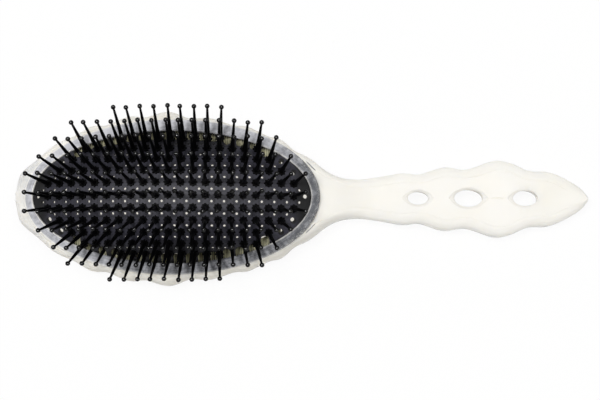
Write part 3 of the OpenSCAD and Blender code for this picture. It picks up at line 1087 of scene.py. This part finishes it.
    def slit(self) -> Form:
        """The fine crease between two holes, a narrow oval that widens upwards.

        Returns:
            The form that is cut away.
        """
        start, end = (np.array(self.crease) - 0.5) * self.length
        long, (low, high) = (end - start) / 2, self.crease_widths
        outlines = [oval(long, low / 2, 40), oval(long + self.crease_depth, high / 2, 40)]
        heights = [self.handle_height - self.crease_depth, self.handle_height + self.crease_over]
        return lifted(outlines, heights, ((start + end) / 2, 0))

    def sleeves(self, low: float, high: float) -> Form:
        """Solid oval posts round the handle's holes, which the holes then pass through.

        Args:
            low: the posts' foot.
            high: their top.

        Returns:
            The posts.
        """
        forms = []
        for place, long, wide in self.hole_sizes():
            line = oval(long + self.sleeve_wall, wide + self.sleeve_wall, 72)
            forms.append(lifted([line, line], [low, high], place))
        return Form.joined(forms)

    def build(self) -> None:
        """Makes both shells and puts them in the place of their nodes."""
        middle = (HEAD_MIDDLE, 0.0)
        over = self.head_height + 2
        shelf = [self.seat_floor - self.ledge, self.head_height - self.wall / 2]
        rim = oval(self.seat[0] + self.seat_wall, self.seat[1] + self.seat_wall, 240)
        seat, cup = oval(*self.seat, 240), oval(*self.cup, 240)
        front = carved(
            "front_shell_moulding",
            self.loft(Side.FRONT, 0),
            [
                (Cut.AWAY, self.loft(Side.FRONT, self.wall, 1.0)),
                (Cut.ADD, self.sleeves(self.seam, self.handle_height - self.wall / 2)),
                (Cut.ADD, lifted([rim] * 2, shelf, middle)),
                (Cut.AWAY, lifted([seat] * 2, [self.seat_floor, over], middle)),
                (Cut.AWAY, lifted([cup] * 2, [self.seam - 1, over], middle)),
                (Cut.AWAY, self.holes()),
                (Cut.AWAY, Form.joined([self.eyes(), self.dimple(), self.slit()])),
            ],
            angle=38,
        )
        back = carved(
            "back_shell_moulding",
            self.loft(Side.BACK, 0),
            [
                (Cut.AWAY, self.loft(Side.BACK, self.wall, 1.0)),
                (Cut.ADD, self.sleeves(self.wall / 2, self.seam)),
                (Cut.AWAY, self.holes()),
            ],
            angle=38,
        )
        halves = ((Side.FRONT, front, self.front_finish), (Side.BACK, back, self.back_finish))
        for side, mesh, finish in halves:
            piece = show(mesh.name, mesh, finish.material())
            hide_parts(side.value)
            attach(piece, "frame")


# The rings


@dataclass
class RetainingRing:
    """The frosted oval ring on the head's face, a band between two ellipses with rounded edges."""

    middle: float = HEAD_MIDDLE
    inner: tuple[float, float] = RING_INNER
    outer: tuple[float, float] = RING_OUTER
    low: float = FACE_HEIGHT
    thickness: float = 2.0
    round_in: float = 0.5
    round_out: float = 0.6
    flat: float = 0.3
    around: int = 360
    finish: FrostedPlastic = field(default_factory=FrostedPlastic)

    def profile(self) -> tuple[Array, Array, Array]:
        """The band's section, from the inner foot over the top to the outer foot.

        Returns:
            Each point's distance from its ellipse, whether that is the inner one (1 or 0), and its height.
        """
        top = self.low + self.thickness
        back, down = quarter(5)
        inner_shift, inner_height = self.round_in * back[::-1], top - self.round_in * down[::-1]
        outer_shift, outer_height = -self.round_out * back, top - self.round_out * down
        flats = [self.round_in + self.flat, -self.round_out - self.flat]
        shift = np.concatenate([[0], inner_shift, flats, outer_shift, [0]])
        heights = np.concatenate([[self.low], inner_height, [top, top], outer_height, [self.low]])
        return shift, np.repeat([1, 0], len(shift) // 2), heights

    def wrap(self, mesh: bpy.types.Mesh, way: Array, over: Array) -> None:
        """Lays the UV map round the band; faces over the seam carry on past its end.

        Args:
            mesh: the band.
            way: how far round each section is, in metres.
            over: each point's share of the way over the band.
        """
        uv = np.stack([np.broadcast_to(way[:, None], over.shape), over], -1).reshape(-1, 2)
        corners = np.zeros(len(mesh.loops), np.int32)
        mesh.loops.foreach_get("vertex_index", corners)
        mapped = uv[corners].reshape(-1, 4, 2)
        seam = np.ptp(mapped[..., 0], axis=1) > way[-1] / 2
        wrapped = seam[:, None] & (mapped[..., 0] < way[-1] / 2)
        mapped[..., 0] += wrapped * (way[-1] + (way[1] - way[0]))
        layer = mesh.uv_layers.new(name="Round")
        layer.data.foreach_set("uv", mapped.astype(np.float32).ravel())

    def build(self) -> None:
        """Makes the ring, whose points lie on the lines from the inner ellipse to the outer one."""
        shift, from_inner, z = self.profile()
        ring = oval(1, 1, self.around)
        inner, outer = ring * self.inner, ring * self.outer
        share = shift / np.linalg.norm(outer - inner, axis=1)[:, None] + (1 - from_inner)
        flat = inner[:, None] + share[..., None] * (outer - inner)[:, None]
        heights = np.broadcast_to(z[None, :, None], (*flat.shape[:2], 1))
        points = np.concatenate([flat + (self.middle, 0), heights], -1)
        mesh = hooped(points).mesh("retaining_band", 40)
        way = np.concatenate([[0], np.cumsum(np.linalg.norm(np.diff(inner, axis=0), axis=1))]) * MM
        self.wrap(mesh, way, np.clip(share, 0, 1))
        piece = show("retaining_band", mesh, self.finish.material())
        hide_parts("retaining_ring")
        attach(piece, "frame")


@dataclass
class RibbedRing:
    """The olive ring under the cushion's flange, kept as it is and given its finish."""

    node: str = "ribbed_ring"
    finish: OlivePlastic = field(default_factory=OlivePlastic)

    def dress(self) -> None:
        """Gives the node its finish."""
        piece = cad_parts[self.node]
        piece.data.materials.clear()
        piece.data.materials.append(self.finish.material())
        LOG.info("%s: dressed", self.node)


# The cushion and the pins


@dataclass
class Dome:
    """The cushion's crown, part of a torus whose axis lies under it along Y, and the net of places on it.

    A row's reach is its number of pins on either side of its middle one, for the middle row and each row
    further out. The end holes' places are in pitches.
    """

    middle: float = HEAD_MIDDLE
    crown: float = CROWN_HEIGHT
    long: float = CROWN_LONG
    cross: float = CROWN_CROSS
    pitch: float = PIN_PITCH
    row_reach: tuple[int, ...] = (10, 10, 9, 8, 7, 4)
    end_places: tuple[tuple[float, float], ...] = (
        (10.94, 0.0), (9.92, 1.9), (9.92, -1.9), (8.94, 2.86), (8.94, -2.86),
    )  # fmt: skip

    def top(self, x: Array, y: Array, under: float = 0.0) -> Array:
        """Height of the crown, or of the surface so far under it; x is from the cushion's middle."""
        across = self.long - self.cross + np.sqrt(np.maximum((self.cross - under) ** 2 - y * y, 0))
        return self.crown - self.long + np.sqrt(np.maximum(across * across - x * x, 0))

    def places(self, i: Array, j: Array) -> Places:
        """Where columns meet rows on the crown: the row's arc across, then the column's arc along.

        Args:
            i: columns, in pitches from the middle.
            j: rows, in pitches from the middle.

        Returns:
            The places, whose Z is square to the crown.
        """
        theta = j * self.pitch / self.cross
        rho = self.long - self.cross * (1 - np.cos(theta))
        u = np.arcsin(i * self.pitch / rho)
        zero = np.zeros_like(u)
        x = self.middle + rho * np.sin(u)
        origin = np.stack([x, self.cross * np.sin(theta), self.crown - self.long + rho * np.cos(u)], -1)
        along = np.stack([np.cos(u), zero, -np.sin(u)], -1)
        over = np.stack([-np.sin(theta) * np.sin(u), np.cos(theta), -np.sin(theta) * np.cos(u)], -1)
        normal = np.stack([np.cos(theta) * np.sin(u), np.sin(theta), np.cos(theta) * np.cos(u)], -1)
        return Places(origin, np.stack([along, over, normal], -1))

    def row(self, j: int) -> Places:
        """The pins' places on one row.

        Args:
            j: the row, from 0 in the middle.

        Returns:
            The places.
        """
        reach = self.row_reach[abs(j)]
        i = np.arange(-reach, reach + 1)
        return self.places(i.astype(float), np.full(len(i), float(j)))

    def rows(self) -> range:
        """The rows' numbers, with 0 in the middle."""
        return range(1 - len(self.row_reach), len(self.row_reach))

    def vents(self) -> Places:
        """The vents' places: half way between columns and rows, one past each row's last pin.

        Returns:
            The places.
        """
        columns, rows = self.row_reach[0] + 0.5, len(self.row_reach) - 1.5
        a, b = np.meshgrid(np.arange(-columns, columns + 0.5), np.arange(-rows, rows + 0.5))
        reach = np.array(self.row_reach)[np.ceil(np.abs(b)).astype(int)]
        inside = np.abs(a) < reach + 1
        return self.places(a[inside], b[inside])

    def end_holes(self) -> Places:
        """The places of the wider holes past the row ends."""
        i, j = np.array(self.end_places).T
        return self.places(np.concatenate([i, -i]), np.concatenate([j, j]))


@dataclass
class Cushion:
    """The perforated rubber cushion: one moulding of a domed panel, a short curb and a clamped flange.

    A notch is its distance from the cushion's middle along the brush, its width and its depth. A mouth is a
    hole's profile of [radius, height], for a radius of 1.
    """

    dome: Dome = field(default_factory=Dome)
    thickness: float = 1.2
    rim: tuple[float, float] = (56.9, 26.9)
    rim_inner: tuple[float, float] = (56.1, 26.1)
    flange: tuple[float, float] = (59.8, 29.8)
    flange_low: float = 18.5
    flange_top: float = FACE_HEIGHT
    first_share: float = 0.012
    edge_round: float = 0.5
    edge_drop: float = 0.1
    vent_d: float = 0.98
    end_hole_d: float = 1.65
    stem_hole_d: float = 2.1
    land_d: float = 2.5
    land_rise: float = 0.16
    land_round: float = 0.08
    mouth: tuple[tuple[float, float], ...] = (
        (1.4, -3), (1.3, -1.1), (1.0, -0.5), (1.0, 0.02), (1.12, 0.1), (1.22, 0.3), (1.22, 2),
    )  # fmt: skip
    notches: tuple[tuple[float, float, float], ...] = (
        (2.5, 2.8, 3.9), (7.5, 2.8, 3.8), (12.5, 2.8, 3.7), (17.5, 2.8, 3.5),
        (22.9, 3.2, 3.6), (28.1, 3.4, 3.2), (33.6, 3.4, 2.8), (38.5, 3.4, 4.0),
    )  # fmt: skip
    notch_over: float = 0.6
    notch_heights: tuple[float, float] = (15.0, 40.0)
    around: int = 240
    finish: MattRubber = field(default_factory=MattRubber)

    def skin(self) -> Form:
        """The moulding without its holes.

        It is one profile carried round an oval: from the middle out over the crown, round the rim, down the
        curb, out and round the flange, back in and up under the crown. A share of the oval gives each point,
        and the dome its height.

        Returns:
            The form.
        """
        ring = oval(1, 1, self.around)
        shares = np.linspace(self.first_share, 1, 44)[:, None, None]
        over = ring * (np.array(self.rim) - self.edge_round) * shares
        up = np.concatenate([over, self.dome.top(over[..., 0], over[..., 1])[..., None]], -1)
        back, down = quarter(5)
        lip = ring * (np.array(self.rim) - self.edge_round * back[1:, None, None])
        fall = up[-1, :, 2] - self.edge_round * down[1:, None] - self.edge_drop
        edge = np.concatenate([lip, fall[..., None]], -1)
        level = [
            (self.rim, self.flange_top),
            (self.flange, self.flange_top),
            (self.flange, self.flange_low),
            (self.rim_inner, self.flange_low),
        ]
        hoops = [np.column_stack([ring * size, np.full(self.around, z)])[None] for size, z in level]
        low = ring * np.array(self.rim_inner) * shares[::-1]
        under = np.concatenate([low, self.dome.top(low[..., 0], low[..., 1], self.thickness)[..., None]], -1)
        rings = np.concatenate([up, edge, *hoops, under])
        return stacked(rings + np.array([self.dome.middle, 0, 0]))

    def slots(self) -> Form:
        """Round-bottomed notches along both long sides, upright prisms whose inner end is a half circle.

        Returns:
            The form that is cut away.
        """
        a = np.linspace(0, np.pi, 13)
        forms = []
        for x, width, depth in self.notches:
            edge = RING_INNER[1] * math.sqrt(1 - (x / RING_INNER[0]) ** 2)
            r = width / 2
            arc = np.stack([r * np.cos(a), edge - depth + r - r * np.sin(a)], -1)
            line = np.concatenate([arc, [[-r, edge + self.notch_over], [r, edge + self.notch_over]]])
            for sx in (-1, 1):
                for sy in (-1, 1):
                    place = (self.dome.middle + sx * x, 0)
                    forms.append(lifted([line * (1, sy)] * 2, self.notch_heights, place))
        return Form.joined([form.outwards() for form in forms])

    def build(self) -> None:
        """Makes the cushion, with a low land round each vent."""
        vents, ends = self.dome.vents(), self.dome.end_holes()
        r, rise, edge = self.land_d / 2, self.land_rise, self.land_round
        land = turned([[r, -self.thickness / 2], [r, rise - edge], [r - edge, rise], [0.3, rise]], 20)
        hole = turned(self.mouth, 16)
        drill = turned([[1, -3], [1, 2]], 12)
        rows = [self.dome.row(j) for j in self.dome.rows()]
        origins = np.concatenate([row.origins for row in rows])
        stems = Places(origins, np.concatenate([row.bases for row in rows]))
        mesh = carved(
            "cushion",
            self.skin(),
            [
                (Cut.ADD, land.placed(vents)),
                (Cut.AWAY, self.slots()),
                (Cut.AWAY, hole.placed(vents, self.vent_d / 2)),
                (Cut.AWAY, hole.placed(ends, self.end_hole_d / 2)),
                (Cut.AWAY, drill.placed(stems, self.stem_hole_d / 2)),
            ],
            angle=30,
        )
        piece = show("cushion", mesh, self.finish.material())
        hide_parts("pad_panel", "pad_skirt")
        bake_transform(piece)


@dataclass
class Pins:
    """The pins: a bead and stem through the rubber, a star-shaped collar, and a tapered shaft with a ball.

    The star is its outer and inner diameter, the collar its foot and top, the shaft [radius, height] up to
    its neck, and the bead its diameter, foot and top. The ball starts at the angle ball_foot times pi, and
    its neck lies neck_drop of its radius under its middle. Along and across are the terms of the lean, which
    grows by a power of the height.
    """

    dome: Dome = field(default_factory=Dome)
    length: float = PIN_LENGTH
    ball_d: float = 2.0
    ball_foot: float = -0.37
    shaft: tuple[tuple[float, float], ...] = ((1.05, 0.9), (0.95, 1.6), (0.78, 7.0))
    neck_d: float = 0.88
    neck_drop: float = 0.98
    star: tuple[float, float] = (3.8, 2.8)
    star_points: int = 8
    collar: tuple[float, float] = (0.3, 1.1)
    chamfer: float = 0.12
    star_top: float = 0.93
    stem_d: float = 1.1
    stem_top: float = 0.5
    bead: tuple[float, float, float] = (3.0, -2.1, -1.5)
    along: tuple[float, float] = (-0.1, -0.3)
    across: tuple[float, float, float] = (0.54, -0.84, 0.47)
    bend: float = 1.2
    stray: float = 0.22
    seed: int = 20
    finish: SatinNylon = field(default_factory=SatinNylon)

    def leans(self, row: int) -> Array:
        """How far the balls of a row lie from their upright places, as used pins do.

        With u and v from -1 to 1 over the columns and rows, the lean is -0.1 - 0.3 sin(pi u) along the brush
        and 0.54 v^4 - 0.84 v^3 + 0.47 v cos(pi u) across it, and each pin strays a little by itself.

        Args:
            row: the row, from -5 to 5.

        Returns:
            The leans (n, 2) in the pins' own X and Y.
        """
        reach = self.dome.row_reach[abs(row)]
        u, v = np.arange(-reach, reach + 1) / self.dome.row_reach[0], row / (len(self.dome.row_reach) - 1)
        a, b = self.along, self.across
        along = a[0] + a[1] * np.sin(np.pi * u)
        lean = np.stack([along, b[0] * v**4 + b[1] * v**3 + b[2] * v * np.cos(np.pi * u)], -1)
        stray = np.random.default_rng(row + self.seed).normal(0, self.stray, lean.shape)
        return lean + np.clip(stray, -2 * self.stray, 2 * self.stray)

    def pattern(self) -> Form:
        """One pin, standing on the cushion's surface at zero.

        The collar's outline has sixteen corners, in turn on a large and a small circle; the shaft is a
        profile of radii by height, and the ball's rings lie at (r cos a, r sin a).

        Returns:
            The form.
        """
        r = self.ball_d / 2
        a = np.linspace(self.ball_foot * np.pi, np.pi / 2, 7)[:-1]
        ball = np.stack([r * np.cos(a), self.length + r * np.sin(a)], -1)
        ball = np.concatenate([ball, [[0.02, self.length + r]]])
        upper = turned([*self.shaft, (self.neck_d / 2, self.length - r * self.neck_drop), *ball], 10)
        (bead_d, low, high), stem = self.bead, self.stem_d / 2
        lower = turned([[bead_d / 2, low], [bead_d / 2, high], [stem, high], [stem, self.stem_top]], 8)
        radius = np.tile(self.star, self.star_points)[:, None] / 2
        line = radius * oval(1, 1, 2 * self.star_points)
        bottom, top = self.collar
        star = lifted([line, line, line * self.star_top], [bottom, top - self.chamfer, top])
        return Form.joined([upper, lower, star])

    def build(self) -> None:
        """Makes each row of pins as one piece that rocks with its own body."""
        finish = self.finish.material()
        pattern = self.pattern()
        for number, row in enumerate(self.dome.rows(), start=1):
            name = f"row_{number:02d}"
            places, lean = self.dome.row(row), self.leans(row)
            pins = pattern.placed(places, lean=lean, foot=self.collar[1], bend=self.bend)
            piece = show(f"pins_{name}", pins.mesh(f"pins_{name}", 35), finish)
            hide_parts(f"pin_{name}")
            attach(piece, name)


# The studio


@dataclass
class Studio:
    """White ground, a sky that is brighter near the horizon, two lamps and a camera nearly straight above.

    The ground and the camera's place are in millimetres and its turn about X, Y and Z in degrees. The lamps'
    places and size and the camera's nearest and furthest sight are in metres. The sky fades from the zenith's
    brightness to the horizon's between two heights of a direction, where 1 is straight up.
    """

    ground_side: float = 3000.0
    ground_level: float = -0.15
    camera_at: tuple[float, float, float] = (28.53, -45.54, 629.07)
    camera_turn: tuple[float, float, float] = (4.168, 2.656, 0.224)
    lens: float = 90.0
    sensor: float = 36.0
    nearest: float = 0.01
    furthest: float = 10.0
    horizon: float = 1.0
    zenith: float = 0.1
    fade: tuple[float, float] = (0.6, 0.15)
    main_at: tuple[float, float, float] = (-0.38, 0.134, 1.8)
    fill_at: tuple[float, float, float] = (0.45, 0.134, 1.8)
    lamp_size: float = 0.4
    main_watts: float = 18.8
    fill_watts: float = 10.5

    def lamp(self, name: str, at: tuple[float, float, float], watts: float) -> None:
        """A square lamp that faces the brush's middle.

        Args:
            name: its name.
            at: its place.
            watts: its power.
        """
        light = bpy.data.lights.new(name, "AREA")
        light.size, light.energy = self.lamp_size, watts
        lamp = bpy.data.objects.new(name, light)
        bpy.context.scene.collection.objects.link(lamp)
        back = np.array(at) / np.linalg.norm(at)
        side = np.cross((0.0, 1.0, 0.0), back)
        side /= np.linalg.norm(side)
        turn = Matrix(np.stack([side, np.cross(back, side), back], -1).tolist()).to_4x4()
        lamp.matrix_world = Matrix.Translation(at) @ turn

    def build(self) -> None:
        """Makes the ground, the sky, the lamps and the camera."""
        square = np.array([[-1, -1], [1, -1], [1, 1], [-1, 1]]) * self.ground_side / 2
        sheet = Form(np.column_stack([square, np.full(4, self.ground_level)]), [np.array([[0, 1, 2, 3]])])
        mesh = sheet.mesh("ground")
        ground = show("ground", mesh, WhiteGround().material())
        if mesh.polygons[0].normal.z < 0:
            mesh.flip_normals()
        ground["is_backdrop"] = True
        world = bpy.data.worlds.new("sky")
        bpy.context.scene.world = world
        n = Nodes(world)
        _, _, up = n.parts(n.value("TexCoord", None, None, "Generated"))
        strength = self.zenith + (self.horizon - self.zenith) * n.step(up, *self.fade)
        n.surface(n.node("Background", None, {"Color": (1.0, 1.0, 1.0), "Strength": strength}))
        self.lamp("main_lamp", self.main_at, self.main_watts)
        self.lamp("fill_lamp", self.fill_at, self.fill_watts)
        data = bpy.data.cameras.new("camera")
        data.lens, data.sensor_width = self.lens, self.sensor
        data.clip_start, data.clip_end = self.nearest, self.furthest
        camera = bpy.data.objects.new("camera", data)
        bpy.context.scene.collection.objects.link(camera)
        turn = Euler([math.radians(angle) for angle in self.camera_turn]).to_matrix().to_4x4()
        camera.matrix_world = Matrix.Translation([value * MM for value in self.camera_at]) @ turn
        bpy.context.scene.camera = camera
        bpy.context.scene.view_settings.view_transform = "Standard"
        cycles = bpy.context.scene.cycles
        cycles.max_bounces, cycles.diffuse_bounces = 24, 12
        cycles.glossy_bounces, cycles.transmission_bounces = 12, 24


def corners() -> list[list[float]]:
    """The shown object's lowest and highest corner."""
    return [[float(c) for c in corner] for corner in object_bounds()]


def main() -> None:
    """Builds every piece in order."""
    logging.basicConfig(level=logging.INFO, format="%(name)s: %(message)s")
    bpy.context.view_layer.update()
    Studio().build()
    Body().build()
    RetainingRing().build()
    RibbedRing().dress()
    Cushion().build()
    Pins().build()


if __name__ == "__main__":
    main()
